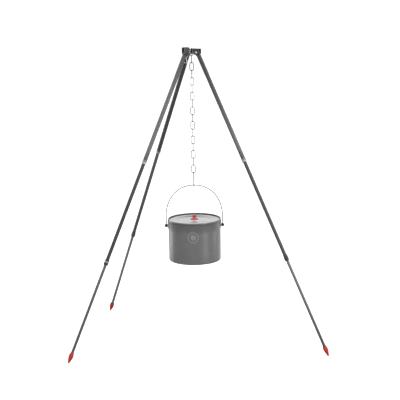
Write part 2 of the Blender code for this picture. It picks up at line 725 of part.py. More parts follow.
def make_ear(name, hand, mats):
    """A bridge on the pot's wall that a bail end turns in, with a tab that rises past the rim."""
    low, high = -0.0095, POT_RIM_TOP - EAR_HEIGHT - 0.0095
    turn = Matrix.Rotation(math.radians(0 if hand > 0 else 180), 4, "Z")
    place = on_plumb(EAR_HEIGHT) @ turn
    ear = add_object(name, prism(bmesh.new(), ear_outline(), low, high), mats["lid_aluminium"], place)
    tab = [(-0.0100, high - 0.004), (0.0100, high - 0.004), (0.0060, high + 0.0045), (-0.0060, high + 0.0045)]
    upright_plate = Matrix(((0, 0, 1), (1, 0, 0), (0, 1, 0))).to_4x4()
    bm = prism(bmesh.new(), tab, EAR_FACE + 0.0001, EAR_FACE + EAR_PLATE - 0.0001, upright_plate)
    join(ear, add_object(name + "_tab", bm, None, place))
    cut(ear, cylinder(name + "_hole", BAIL_WIRE + GAP, 0.10, 0.15, place @ along_x(), segments=16))


def bail_points():
    """From one pivot over to the other: an inward end, an upright, and a flattened arch.

    Heights are from the bail's top, which rolls in the pot hook.
    """
    corner = 0.0045
    half = BAIL_HALF_WIDTH
    right = [(BAIL_END, 0.0), (half - corner, 0.0)]
    right += arc((half - corner, corner), corner, -60, 0, 3)
    right += [(half, 0.020), (half, BAIL_SHOULDER)]
    steps = 12
    rise = BAIL_APEX - BAIL_SHOULDER
    for i in range(1, steps):
        turn = math.pi / 2 * i / steps
        right.append((half * math.cos(turn) ** 0.94, BAIL_SHOULDER + rise * math.sin(turn) ** 0.94))
    path = right + [(0.0, BAIL_APEX)] + [(-x, z) for x, z in right[::-1]]
    return [(x, 0.0, z - BAIL_APEX) for x, z in path]


def make_bail(mats):
    """The wire handle, and a black stop round each of its bends."""
    place = on_plumb(EAR_HEIGHT + BAIL_APEX)
    add_object("bail", sweep(bmesh.new(), bail_points(), BAIL_WIRE, 8), mats["bright_steel"], place)
    sleeve = sweep(bmesh.new(), bail_points(), BAIL_WIRE + GAP, 8)
    sleeve = add_object("bail_sleeve", sleeve, None, place)
    start = EAR_FACE + EAR_PLATE + GAP
    profile = [
        (0, start),
        (0.0056, start),
        (0.0074, start + 0.0020),
        (0.0077, start + 0.0066),
        (0.0064, start + 0.0106),
        (0.0034, start + 0.0128),
        (0, start + 0.0133),
    ]
    for name, hand in (("bail_stop_left", -90), ("bail_stop_right", 90)):
        bm = lathe(bmesh.new(), profile, 16, Matrix.Rotation(math.radians(hand), 4, "Y"))
        stop = add_object(name, bm, mats["stop_plastic"], on_plumb(EAR_HEIGHT))
        cut(stop, sleeve)


# ---------------------------------------------------------------- build


def main():
    clear_scene()
    mats = make_materials()
    make_hub(mats)
    for name in LEG_AZIMUTHS:
        make_bracket(name, mats)
        make_pivot_pin(name, mats)
        make_leg(name, mats)
    make_ring(mats)
    make_take_up_hook(mats)
    make_chain(mats)
    make_pot_hook(mats)
    make_pot(mats)
    make_lid(mats)
    make_ear("ear_left", -1, mats)
    make_ear("ear_right", 1, mats)
    make_bail(mats)


main()
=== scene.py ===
import json
import math

import bmesh
import bpy
from mathutils import Matrix, Vector


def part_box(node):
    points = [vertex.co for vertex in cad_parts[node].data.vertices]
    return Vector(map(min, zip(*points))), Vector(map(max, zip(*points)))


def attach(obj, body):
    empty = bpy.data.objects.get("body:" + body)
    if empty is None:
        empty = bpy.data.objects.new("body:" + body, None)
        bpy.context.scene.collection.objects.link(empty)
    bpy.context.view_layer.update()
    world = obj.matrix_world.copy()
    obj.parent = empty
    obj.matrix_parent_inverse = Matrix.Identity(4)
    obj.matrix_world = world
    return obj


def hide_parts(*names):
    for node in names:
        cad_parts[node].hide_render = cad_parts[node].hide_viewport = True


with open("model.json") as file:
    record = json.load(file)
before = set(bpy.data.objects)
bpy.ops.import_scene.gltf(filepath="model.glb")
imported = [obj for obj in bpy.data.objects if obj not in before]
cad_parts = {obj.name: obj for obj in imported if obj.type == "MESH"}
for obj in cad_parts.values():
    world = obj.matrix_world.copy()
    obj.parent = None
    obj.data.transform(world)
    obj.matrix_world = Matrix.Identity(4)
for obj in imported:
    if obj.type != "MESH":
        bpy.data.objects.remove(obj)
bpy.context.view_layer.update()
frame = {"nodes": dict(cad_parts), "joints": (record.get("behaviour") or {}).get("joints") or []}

# ---------------------------------------------------------------- sizes, in metres

JOINTS = {joint["name"]: joint for joint in frame["joints"]}
LEGS = ("left", "rear", "right")
GAP = 0.0003  # between pieces that touch

UPPER_RADIUS, UPPER_BORE = 0.0095, 0.0085
MIDDLE_RADIUS, MIDDLE_BORE = 0.00795, 0.00695
LOWER_RADIUS, LOWER_BORE = 0.00635, 0.00535
UPPER_START = 0.012  # upper tube's top, down from the pivot
TUBE_INSERTION = 0.060  # how far a tube reaches up into the next
FOOT_LENGTH = 0.048
FOOT_TIP_RADIUS = 0.003
LOWER_CUT = 0.018  # lower tube's end, short of the leg's tip
TUBE_SIDES = 48
PIN_SIDE = 0.0128  # from a pin's middle to the outside of its bracket
PIN_RADIUS, PIN_HEAD_RADIUS = 0.0030, 0.0050

LINK_WIRE = 0.0016
LINK_WIDTH = 0.0168
LINK_PAIRS = 8
LINK_TOUCH = 0.0033  # between the wire centres of two links of a pair
RING_WIRE = 0.00175
RING_WIDTH = 0.0165
RING_YAW = math.radians(42)  # about the plumb line
HOOK_WIRE = 0.0018
HOOK_BOW = 0.0070
BAIL_WIRE = 0.0020
BAIL_HALF_WIDTH = 0.1262
BAIL_END = 0.1182  # its inward ends, out from the pot's axis
BAIL_SHOULDER = 0.040  # where the bail's sides start to curve in
BAIL_CURVE = 0.94  # below 1, squarer than an ellipse
WIRE_SIDES = 16

POT_SIDES = 160
POT_TOP_RADIUS, POT_BOTTOM_RADIUS = 0.1174, 0.1168
POT_RIM_RADIUS = 0.1184
POT_WALL = 0.0020
POT_FILLET = 0.006
LID_RADIUS = 0.1153
LID_RIM_INSIDE = 0.1085
LID_HOLE = 0.0028
LID_SHEET = 0.0014
LID_DEPTH = 0.0016  # from its rim down to its panel
LID_BOSS = 0.0032  # how far the lid's middle rises above its panel
EAR_FACE = 0.1190  # ear bridge's inner face, out from the pot's axis
EAR_PLATE = 0.0014

MARK_HEIGHT = 0.499  # above the ground
MARK_SHIFT = -0.006  # sideways from the pot's middle
MARK_RADIUS = 0.0225
MARK_LINE = 0.0034
MARK_DOT = 0.0115

# Tones at distances down the leg, for its upper, middle and lower tubes. They hold the paint's tone and
# painted light and shade, which differ from leg to leg and tube to tube.
PAINT_AND_SHADE_TONES = {
    "left": (
        ((0.05, 0.076), (0.18, 0.165), (0.40, 0.175)),
        ((0.5, 0.052), (0.9, 0.048)),
        ((1.0, 0.115), (1.3, 0.100)),
    ),
    "rear": (
        ((0.05, 0.060), (0.30, 0.074)),
        ((0.5, 0.100), (0.9, 0.112)),
        ((1.0, 0.18), (1.2, 0.235), (1.35, 0.17)),
    ),
    "right": (
        ((0.05, 0.046), (0.30, 0.125), (0.44, 0.172)),
        ((0.5, 0.072), (0.9, 0.074)),
        ((1.05, 0.165), (1.20, 0.145), (1.35, 0.062)),
    ),
}
# A collar's tone, and the strength of a pale ring of painted highlight on it. The rear collar's lighter tone
# is painted light.
COLLAR_TONES_AND_HIGHLIGHTS = {"left": (0.042, 0.85), "rear": (0.090, 0.0), "right": (0.042, 0.0)}


def place_of(joint):
    return Vector(JOINTS[joint]["pos_m"])


CHAIN_FOOT = place_of("bail_roll")
PLUMB = Vector((CHAIN_FOOT.x, CHAIN_FOOT.y, 0.0))
EAR_HEIGHT = place_of("pot_tip").z
LID_TOP = place_of("lid_lift").z
POT_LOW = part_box("pot")[0].z
POT_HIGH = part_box("pot")[1].z


def on_plumb(height):
    return Matrix.Translation(PLUMB + Vector((0, 0, height)))


# ---------------------------------------------------------------- mesh helpers


def finish_mesh(name, bm, place, mat, body, stands_for=()):
    """Makes a smooth-shaded piece that rides on a body and stands for the named CAD nodes."""
    bmesh.ops.recalc_face_normals(bm, faces=bm.faces)
    mesh = bpy.data.meshes.new(name)
    bm.to_mesh(mesh)
    bm.free()
    mesh.shade_smooth()
    mesh.set_sharp_from_angle(angle=math.radians(38))
    mesh.materials.append(mat)
    obj = bpy.data.objects.new(name, mesh)
    bpy.context.scene.collection.objects.link(obj)
    obj.matrix_world = place
    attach(obj, body)
    if stands_for:
        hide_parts(*stands_for)
    return obj


def lathe(bm, profile, sides, matrix=Matrix.Identity(4)):
    """Turns a closed loop of (radius, height) points about Z. Points on the axis become poles."""
    rings = []
    for radius, height in profile:
        if radius < 1e-9:
            rings.append([bm.verts.new(matrix @ Vector((0, 0, height)))])
            continue
        turns = [2 * math.pi * i / sides for i in range(sides)]
        points = [Vector((radius * math.cos(t), radius * math.sin(t), height)) for t in turns]
        rings.append([bm.verts.new(matrix @ p) for p in points])
    for k, a in enumerate(rings):
        b = rings[(k + 1) % len(rings)]
        if len(a) == 1 and len(b) == 1:
            continue
        for i in range(sides):
            j = (i + 1) % sides
            if len(a) == 1:
                bm.faces.new((a[0], b[j], b[i]))
            elif len(b) == 1:
                bm.faces.new((a[i], a[j], b[0]))
            else:
                bm.faces.new((a[i], a[j], b[j], b[i]))
    return bm


def sweep(bm, points, radius, sides=WIRE_SIDES, closed=False, matrix=Matrix.Identity(4)):
    """A round wire through the points. An open one has domed ends."""
    points = [Vector(p) for p in points]
    if not closed:
        points, radii = domed(points, radius)
    else:
        radii = [radius] * len(points)
    count = len(points)
    tangents = []
    for i in range(count):
        before = points[i - 1] if closed or i else points[i]
        after = points[(i + 1) % count] if closed or i < count - 1 else points[i]
        tangents.append((after - before).normalized())
    side = tangents[0].orthogonal().normalized()
    rings = []
    for i in range(count):
        if i:
            side = tangents[i - 1].rotation_difference(tangents[i]) @ side
        across = tangents[i].cross(side).normalized()
        ring = []
        for k in range(sides):
            turn = 2 * math.pi * k / sides
            offset = (side * math.cos(turn) + across * math.sin(turn)) * radii[i]
            ring.append(bm.verts.new(matrix @ (points[i] + offset)))
        rings.append(ring)
    for i in range(count if closed else count - 1):
        a, b = rings[i], rings[(i + 1) % count]
        for k in range(sides):
            m = (k + 1) % sides
            bm.faces.new((a[k], a[m], b[m], b[k]))
    if not closed:
        bm.faces.new(rings[0][::-1])
        bm.faces.new(rings[-1])
    return bm


def domed(points, radius):
    """Adds short tapering stretches inside both ends of a wire, so that they look rounded."""
    steps = (0.0, 0.12, 0.35, 0.65, 1.0)
    depth = radius * 0.9
    first = (points[1] - points[0]).normalized()
    last = (points[-2] - points[-1]).normalized()
    start = [points[0] + first * depth * s for s in steps]
    end = [points[-1] + last * depth * s for s in steps][::-1]
    radii = [radius * math.sqrt(1 - 0.92 * (1 - s) ** 2) for s in steps]
    middle = points[1:-1]
    return start + middle + end, radii + [radius] * len(middle) + radii[::-1]


def arc(centre, radius, start, end, steps):
    """Points (u, v) on an arc, angles in degrees from +u towards +v."""
    turns = [math.radians(start + (end - start) * i / steps) for i in range(steps + 1)]
    return [(centre[0] + radius * math.cos(t), centre[1] + radius * math.sin(t)) for t in turns]


def oval_points(width, length, steps):
    """A chain link's centre line in the XZ plane, its top bow's middle at the origin."""
    bow = width / 2
    top = arc((0, -bow), bow, 0, 180, steps)
    bottom = arc((0, bow - length), bow, 180, 360, steps)
    return [(u, 0, v) for u, v in top + bottom]


def drilled(obj, radius, place):
    """Cuts a round hole through one wall of a tube, and keeps the result as the piece's own mesh."""
    bm = lathe(bmesh.new(), [(0, 0.002), (radius, 0.002), (radius, 0.02), (0, 0.02)], 32)
    bmesh.ops.recalc_face_normals(bm, faces=bm.faces)
    mesh = bpy.data.meshes.new("drill")
    bm.to_mesh(mesh)
    bm.free()
    cutter = bpy.data.objects.new("drill", mesh)
    bpy.context.scene.collection.objects.link(cutter)
    cutter.matrix_world = place
    modifier = obj.modifiers.new("hole", "BOOLEAN")
    modifier.operation = "DIFFERENCE"
    modifier.solver = "EXACT"
    modifier.object = cutter
    bpy.context.view_layer.update()
    cut = bpy.data.meshes.new_from_object(obj.evaluated_get(bpy.context.evaluated_depsgraph_get()))
    obj.modifiers.remove(modifier)
    obj.data = cut
    bpy.data.objects.remove(cutter)


# ---------------------------------------------------------------- material helpers


class Recipe:
    """A node tree under construction: a Principled shader and short calls for what feeds it."""

    def __init__(self, name, colour, roughness, metallic=0.0):
        self.mat = bpy.data.materials.new(name)
        self.mat.use_nodes = True
        self.nodes = self.mat.node_tree.nodes
        self.links = self.mat.node_tree.links
        self.shader = self.nodes["Principled BSDF"]
        self.set("Base Color", (*colour, 1.0))
        self.set("Roughness", roughness)
        self.set("Metallic", metallic)
        self.coords = self.nodes.new("ShaderNodeTexCoord").outputs["Object"]
        self.colour = None

    def set(self, socket, value):
        self.shader.inputs[socket].default_value = value

    def node(self, kind, inputs=(), **settings):
        made = self.nodes.new("ShaderNode" + kind)
        for key, value in settings.items():
            setattr(made, key, value)
        for key, value in dict(inputs).items():
            if isinstance(value, bpy.types.NodeSocket):
                self.links.new(value, made.inputs[key])
            else:
                made.inputs[key].default_value = value
        return made

    def stretched(self, scale):
        return self.node("Mapping", {"Vector": self.coords, "Scale": scale}).outputs[0]

    def noise(self, scale, detail=4.0, vector=None, roughness=0.55):
        values = {"Scale": scale, "Detail": detail, "Roughness": roughness,
                  "Vector": vector or self.coords}
        return self.node("TexNoise", values).outputs["Fac"]

    def range(self, value, low, high, to_low, to_high):
        values = {"Value": value, "From Min": low, "From Max": high, "To Min": to_low, "To Max": to_high}
        return self.node("MapRange", values).outputs["Result"]

    def maths(self, operation, a, b=0.0):
        return self.node("Math", {0: a, 1: b}, operation=operation).outputs[0]

    def axes(self):
        """The surface point's own X, Y and Z in its piece's frame."""
        return self.node("SeparateXYZ", {0: self.coords}).outputs

    def distance(self, a, b):
        squares = self.maths("ADD", self.maths("POWER", a, 2.0), self.maths("POWER", b, 2.0))
        return self.maths("SQRT", squares)

    def band(self, value, low, high, blur):
        """1 between low and high, fading to 0 over a blur on either side."""
        rise = self.range(value, low - blur, low, 0.0, 1.0)
        return self.maths("MULTIPLY", rise, self.range(value, high, high + blur, 1.0, 0.0))

    def tint(self, factor, colour):
        """Mixes a colour over the base by a factor from 0 to 1."""
        base = self.colour or tuple(self.shader.inputs["Base Color"].default_value)
        mix = self.node("Mix", data_type="RGBA")
        if isinstance(base, tuple):
            mix.inputs[6].default_value = base
        else:
            self.links.new(base, mix.inputs[6])
        mix.inputs[7].default_value = (*colour, 1.0)
        self.links.new(factor, mix.inputs[0])
        self.colour = mix.outputs[2]
        self.links.new(self.colour, self.shader.inputs["Base Color"])

    def rough(self, factor, low, high):
        spread = self.range(factor, 0.3, 0.7, low, high)
        self.links.new(spread, self.shader.inputs["Roughness"])

    def bump(self, height, strength, distance):
        values = {"Height": height, "Strength": strength, "Distance": distance}
        previous = self.shader.inputs["Normal"]
        if previous.is_linked:
            values["Normal"] = previous.links[0].from_socket
        made = self.node("Bump", values)
        self.links.new(made.outputs[0], previous)


def powder_coat(name, colour, light, roughness):
    """Baked powder paint: a fine orange peel, faint mottling and a few lighter rubs."""
    r = Recipe(name, colour, roughness)
    r.tint(r.range(r.noise(55, 5), 0.35, 0.70, 0.0, 1.0), light)
    speck = r.range(r.noise(2600, 2), 0.60, 0.72, 0.0, 0.55)
    r.tint(speck, tuple(c * 1.8 for c in light))
    along = r.stretched((900, 900, 14))
    rub = r.range(r.noise(1.0, 3, along), 0.66, 0.80, 0.0, 0.30)
    r.tint(rub, tuple(c * 2.2 for c in light))
    r.rough(r.noise(240, 3), roughness - 0.07, roughness + 0.08)
    r.bump(r.noise(1400, 3), 0.35, 0.00012)
    r.set("Specular IOR Level", 0.55)
    return r


def plated_steel(name, colour, roughness, metallic=1.0, sheen=0.5):
    """Plated steel: cloudy tone, paler worn flecks, uneven gloss and soft waviness."""
    r = Recipe(name, colour, roughness, metallic)
    r.tint(r.range(r.noise(140, 4), 0.40, 0.72, 0.0, 0.7), tuple(c * 0.72 for c in colour))
    worn = tuple(min(0.42, c * 2.2) for c in colour)
    r.tint(r.range(r.noise(900, 3), 0.62, 0.76, 0.0, 0.5), worn)
    r.rough(r.noise(420, 3), roughness - 0.08, roughness + 0.12)
    r.bump(r.noise(700, 3), 0.25, 0.00010)
    r.set("Specular IOR Level", sheen)
    return r


def moulded_plastic(name, colour, light, roughness, coat=0.0):
    """Moulded plastic or rubber: a fine spark texture, soft tone changes, handled highs."""
    r = Recipe(name, colour, roughness)
    r.tint(r.range(r.noise(90, 4), 0.40, 0.70, 0.0, 0.8), light)
    r.rough(r.noise(300, 3), roughness - 0.06, roughness + 0.10)
    r.bump(r.noise(3200, 2), 0.30, 0.00008)
    r.set("Coat Weight", coat)
    return r


# ---------------------------------------------------------------- materials


def leg_paint_and_shade(name, stops, end_shade=None):
    """Grey powder coat whose tone changes down a leg, partly its own tone and partly painted light and shade:
    stops are (distance, tone) pairs.

    An upper tube darkens to olive just above its ferrule.
    """
    tone = stops[0][1]
    r = powder_coat(name, (tone, tone, tone * 1.01), (tone * 1.2, tone * 1.2, tone * 1.21), 0.36)
    down = r.axes()["Z"]
    for (start, _), (end, shade) in zip(stops, stops[1:]):
        r.tint(r.range(down, start, end, 0.0, 0.92), (shade, shade, shade * 1.01))
    if end_shade:
        near_end = r.range(down, end_shade - 0.050, end_shade - 0.004, 0.0, 0.6)
        r.tint(near_end, (0.046, 0.048, 0.036))
    return r.mat


def head_paint():
    return powder_coat("head_black", (0.034, 0.034, 0.035), (0.050, 0.050, 0.051), 0.40).mat


def collar_plastic(name, end, tone, band):
    """Black plastic. Where band is above 0, a pale ring of painted highlight lies round the collar's middle.
    """
    r = moulded_plastic(name, (tone, tone, tone), (tone * 1.4, tone * 1.4, tone * 1.36), 0.42)
    # A painted highlight: a pale ring round the collar.
    if band:
        ring = r.band(r.axes()["Z"], end - 0.0098, end - 0.0052, 0.0007)
        r.tint(r.maths("MULTIPLY", ring, band), (0.42, 0.42, 0.42))
    return r.mat


def ferrule_steel(name, end):
    """Dull plating, bright on the rolled band."""
    r = plated_steel(name, (0.62, 0.62, 0.61), 0.36)
    down = r.axes()["Z"]
    r.tint(r.range(down, end - 0.0012, end - 0.0018, 0.0, 0.85), (0.20, 0.20, 0.19))
    return r.mat


def stop_plastic():
    return moulded_plastic("stop_black", (0.008, 0.008, 0.008), (0.016, 0.016, 0.016), 0.36).mat


def foot_rubber(shoulder, tip):
    """Red rubber, darker round its top rim and scuffed towards the point."""
    r = moulded_plastic("foot_red", (0.50, 0.022, 0.018), (0.62, 0.045, 0.035), 0.46)
    down = r.axes()["Z"]
    r.tint(r.range(down, shoulder + 0.004, shoulder, 0.0, 0.75), (0.16, 0.008, 0.008))
    near_tip = r.range(down, tip - 0.020, tip, 0.0, 1.0)
    scuffs = r.range(r.noise(260, 5), 0.45, 0.62, 0.0, 0.6)
    r.tint(r.maths("MULTIPLY", near_tip, scuffs), (0.20, 0.035, 0.025))
    return r.mat


def knob_plastic():
    r = moulded_plastic("knob_red", (0.40, 0.042, 0.038), (0.48, 0.066, 0.056), 0.26, 0.5)
    r.set("Coat Roughness", 0.12)
    return r.mat


def pot_finish():
    """Hard-anodised aluminium, turned: fine lines round the wall and a faint cloudiness."""
    r = Recipe("pot_anodised", (0.216, 0.216, 0.217), 0.36, 0.30)
    r.tint(r.range(r.noise(26, 5), 0.38, 0.68, 0.0, 1.0), (0.238, 0.238, 0.239))
    lines = r.noise(1.0, 4, r.stretched((9, 9, 1500)))
    r.tint(r.range(lines, 0.42, 0.74, 0.0, 0.55), (0.19, 0.192, 0.194))
    r.tint(r.range(r.noise(1900, 2), 0.62, 0.75, 0.0, 0.5), (0.075, 0.076, 0.078))
    r.rough(r.noise(60, 4), 0.28, 0.38)
    r.bump(lines, 0.16, 0.00006)
    return r


def pot_body_finish():
    """The pot carries painted shade in a strip under its rim and inside it. Its outside carries a plain ring
    and dot.
    """
    r = pot_finish()
    axes = r.axes()
    # Painted shade: a dark strip a little below the rim.
    rim = POT_HIGH - EAR_HEIGHT
    shade = r.maths("MULTIPLY", r.range(axes["Z"], rim - 0.0135, rim - 0.0100, 0.0, 1.0),
                    r.range(axes["Z"], rim - 0.0068, rim - 0.0058, 1.0, 0.0))
    r.tint(r.maths("MULTIPLY", shade, 0.35), (0.080, 0.080, 0.081))
    radius = r.distance(axes["X"], axes["Y"])
    # Painted shade over the inside of the pot.
    inside = r.range(radius, POT_RIM_RADIUS - 0.0022, POT_RIM_RADIUS - 0.0028, 0.0, 0.9)
    r.tint(inside, (0.020, 0.020, 0.020))
    across = r.maths("SUBTRACT", axes["X"], MARK_SHIFT)
    up = r.maths("SUBTRACT", axes["Z"], MARK_HEIGHT - EAR_HEIGHT)
    distance = r.distance(across, up)
    off_line = r.maths("ABSOLUTE", r.maths("SUBTRACT", distance, MARK_RADIUS))
    on_line = r.range(off_line, MARK_LINE * 0.5, MARK_LINE * 0.8, 1.0, 0.0)
    on_dot = r.range(distance, MARK_DOT, MARK_DOT * 1.1, 1.0, 0.0)
    marked = r.maths("MAXIMUM", on_line, on_dot)
    front = r.maths("LESS_THAN", axes["Y"], 0.0)
    r.tint(r.maths("MULTIPLY", r.maths("MULTIPLY", marked, front), 0.62), (0.42, 0.42, 0.42))
    return r.mat


def lid_finish():
    """Satin aluminium with fine rings turned round its middle."""
    r = Recipe("lid_turned", (0.60, 0.60, 0.60), 0.34, 1.0)
    axes = r.axes()
    radius = r.distance(axes["X"], axes["Y"])
    rings = r.node("TexNoise", {"Vector": r.node("CombineXYZ", {0: radius}).outputs[0],
                                "Scale": 1300.0, "Detail": 4.0}).outputs["Fac"]
    r.tint(r.range(rings, 0.40, 0.72, 0.0, 0.8), (0.47, 0.47, 0.47))
    r.tint(r.range(r.noise(30, 5), 0.40, 0.70, 0.0, 0.5), (0.52, 0.52, 0.52))
    r.rough(rings, 0.27, 0.42)
    r.bump(rings, 0.22, 0.00008)
    r.set("Anisotropic", 0.55)
    tangent = r.node("Tangent", direction_type="RADIAL", axis="Z")
    r.links.new(tangent.outputs[0], r.shader.inputs["Tangent"])
    return r.mat


def floor_finish():
    r = Recipe("studio_floor", (0.93, 0.93, 0.93), 0.85)
    r.tint(r.range(r.noise(3, 3), 0.35, 0.65, 0.0, 1.0), (0.90, 0.90, 0.905))
    r.set("Emission Color", (1.0, 1.0, 1.0, 1.0))
    r.set("Emission Strength", 0.30)
    return r.mat


# ---------------------------------------------------------------- legs


def leg_matrix(name):
    """At a leg's pivot: X along the hinge, Z down the leg."""
    hinge = JOINTS[f"leg_{name}_spread"]
    x = -Vector(hinge["axis"]).normalized()
    z = Vector(JOINTS[f"leg_{name}_middle_slide"]["axis"]).normalized()
    turn = Matrix((x, z.cross(x), z)).transposed().to_4x4()
    return Matrix.Translation(hinge["pos_m"]) @ turn


def along(name, joint):
    """How far down a leg a joint is."""
    return (place_of(f"leg_{name}_{joint}") - place_of(f"leg_{name}_spread")).length


def button_side(name):
    """1 where a leg's buttons face its local +X, or -1."""
    x = leg_matrix(name).col[0].to_3d()
    return 1 if x.dot(Vector(JOINTS[f"leg_{name}_upper_button_press"]["axis"])) > 0 else -1


def tube_profile(outer, bore, start, end):
    edge = 0.0004
    turned_in = arc((outer - edge, end - edge), edge, 90, 0, 3)
    turned_out = arc((outer - edge, start + edge), edge, 0, -90, 3)
    return [(bore, start), (bore, end)] + turned_in + turned_out


def make_tube(name, part, body, radii, ends, holes, mat):
    matrix = leg_matrix(name)
    bm = lathe(bmesh.new(), tube_profile(*radii, *ends), TUBE_SIDES)
    node = f"leg_{name}_{part}"
    tube = finish_mesh(f"{node}_fine", bm, matrix, mat, f"leg_{name}_{body}", [node])
    for distance, radius in holes:
        turn = Matrix.Rotation(math.radians(90 * button_side(name)), 4, "Y")
        drilled(tube, radius, matrix @ Matrix.Translation((0, 0, distance)) @ turn)


def ferrule_profile(end):
    """A sleeve over the joint, with a rolled band at its lower end."""
    over = UPPER_RADIUS + 0.0002
    inside = MIDDLE_RADIUS + GAP
    top, low = end - 0.0105, end + 0.0062
    band = low - 0.0072
    profile = [(over, top), (over, end + GAP), (inside, end + GAP), (inside, low)]
    profile += arc((0.0098, low - 0.0009), 0.0009, 90, 0, 5)
    profile += arc((0.0098, band + 0.0009), 0.0009, 0, -60, 4)
    profile += [(0.01015, band - 0.0004), (0.01015, top + 0.0006), (0.0099, top)]
    return profile


def collar_profile(end):
    """A black moulded collar that swells in the middle, with two shallow grooves."""
    over = MIDDLE_RADIUS + 0.0002
    inside = LOWER_RADIUS + GAP
    top, low = end - 0.0205, end + 0.0075
    profile = [(over, top), (over, end + GAP), (inside, end + GAP), (inside, low)]
    profile += arc((0.0087, low - 0.0009), 0.0009, 90, 0, 4)
    steps = 16
    for i in range(steps + 1):
        share = i / steps
        height = low - 0.0016 - (low - top - 0.0024) * share
        swell = 0.0097 + 0.0004 * math.sin(math.pi * min(share * 1.5, 1.0))
        swell -= 0.0011 * max(share - 0.6, 0) / 0.4
        groove = 0.0003 if i in (4, 8) else 0.0
        profile.append((swell - groove, height))
    profile += [(over + 0.0005, top)]
    return profile


def foot_profile(length, shoulder):
    """A pointed cap, widest at its shoulder, with a rolled top rim."""
    bottom = length - LOWER_CUT + GAP
    socket = LOWER_RADIUS + GAP
    profile = [(0, bottom), (socket, bottom), (socket, shoulder)]
    profile += [(0.0079, shoulder), (0.0084, shoulder + 0.0005), (0.0086, shoulder + 0.0014)]
    profile += [(0.0085, shoulder + 0.0024), (0.0087, shoulder + 0.0034)]
    flank = [(0.0095, 0.0060), (0.0102, 0.0095), (0.0106, 0.0130), (0.0105, 0.0165), (0.0099, 0.0215),
             (0.0087, 0.0275), (0.0071, 0.0330), (0.0054, 0.0385), (0.0039, 0.0430)]
    profile += [(radius, shoulder + height) for radius, height in flank]
    tip = length - FOOT_TIP_RADIUS
    profile += arc((0, tip), FOOT_TIP_RADIUS, 18, 82, 6)
    return profile + [(0, length)]


def button_profile(tube_radius, bore):
    tip = tube_radius + 0.0002
    shoulder = bore * 0.74
    head = 0.0030 if bore > 0.006 else 0.0024
    profile = [(0, shoulder - 0.0028), (0.0016, shoulder - 0.0028), (0.0016, shoulder - 0.0010)]
    profile += [(head * 1.22, shoulder - 0.0010), (head * 1.22, shoulder), (head, shoulder)]
    dome = [(math.cos(math.radians(a)), math.sin(math.radians(a))) for a in (0, 18, 36, 54, 72)]
    profile += [(head * u, tip - 0.0010 + 0.0010 * v) for u, v in dome]
    return profile + [(0, tip)]


def make_button(name, which, radii, mats):
    matrix = leg_matrix(name)
    node = f"leg_{name}_{which}_button"
    turn = Matrix.Rotation(math.radians(90 * button_side(name)), 4, "Y")
    place = matrix @ Matrix.Translation((0, 0, along(name, f"{which}_button_press"))) @ turn
    bm = lathe(bmesh.new(), button_profile(*radii), 28)
    finish_mesh(f"{node}_fine", bm, place, mats["button"], node, [node])


def make_leg(name, mats):
    matrix = leg_matrix(name)
    leg = f"leg_{name}"
    upper_end = along(name, "middle_slide")
    middle_end = along(name, "lower_slide")
    first, second = along(name, "upper_button_press"), along(name, "lower_button_press")
    cosine = -matrix.col[2].z
    length = (matrix.translation.z - FOOT_TIP_RADIUS) / cosine + FOOT_TIP_RADIUS
    shoulder = length - FOOT_LENGTH
    upper, middle = (UPPER_RADIUS, UPPER_BORE), (MIDDLE_RADIUS, MIDDLE_BORE)
    lower = (LOWER_RADIUS, LOWER_BORE)
    # These tones carry painted light and shade as well as the paint.
    tones = PAINT_AND_SHADE_TONES[name]
    make_tube(name, "upper_tube", "upper", upper, (UPPER_START, upper_end), [(first, 0.0036)],
              leg_paint_and_shade(leg + "_upper_paint_and_shade", tones[0], upper_end))
    make_tube(name, "middle_tube", "middle", middle, (upper_end - TUBE_INSERTION, middle_end),
              [(first, 0.0033), (second, 0.0030)], leg_paint_and_shade(leg + "_middle_paint_and_shade", tones[1]))
    make_tube(name, "lower_tube", "lower", lower, (middle_end - TUBE_INSERTION, length - LOWER_CUT),
              [(second, 0.0027)], leg_paint_and_shade(leg + "_lower_paint_and_shade", tones[2]))
    finish_mesh(leg + "_ferrule_fine", lathe(bmesh.new(), ferrule_profile(upper_end), TUBE_SIDES), matrix,
                ferrule_steel(leg + "_ferrule_steel", upper_end), leg + "_upper",
                [leg + "_ferrule"])
    finish_mesh(leg + "_collar_fine", lathe(bmesh.new(), collar_profile(middle_end), TUBE_SIDES), matrix,
                collar_plastic(leg + "_collar_black", middle_end, *COLLAR_TONES_AND_HIGHLIGHTS[name]),
                leg + "_middle", [leg + "_collar"])
    finish_mesh(leg + "_foot_fine", lathe(bmesh.new(), foot_profile(length, shoulder), TUBE_SIDES), matrix,
                foot_rubber(shoulder, length), leg + "_lower", [leg + "_foot"])
    make_button(name, "upper", (MIDDLE_RADIUS, MIDDLE_BORE), mats)
    make_button(name, "lower", (LOWER_RADIUS, LOWER_BORE), mats)


# ---------------------------------------------------------------- ring, chain and hooks


def make_ring(mats):
    low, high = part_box("hanging_ring")
    length = high.z - low.z - 2 * RING_WIRE
    turn = Matrix.Rotation(RING_YAW, 4, "Z")
    bm = sweep(bmesh.new(), oval_points(RING_WIDTH, length, 24), RING_WIRE, closed=True)
    finish_mesh("hanging_ring_fine", bm, on_plumb(high.z - RING_WIRE) @ turn, mats["steel"], "ring",
                ["hanging_ring"])


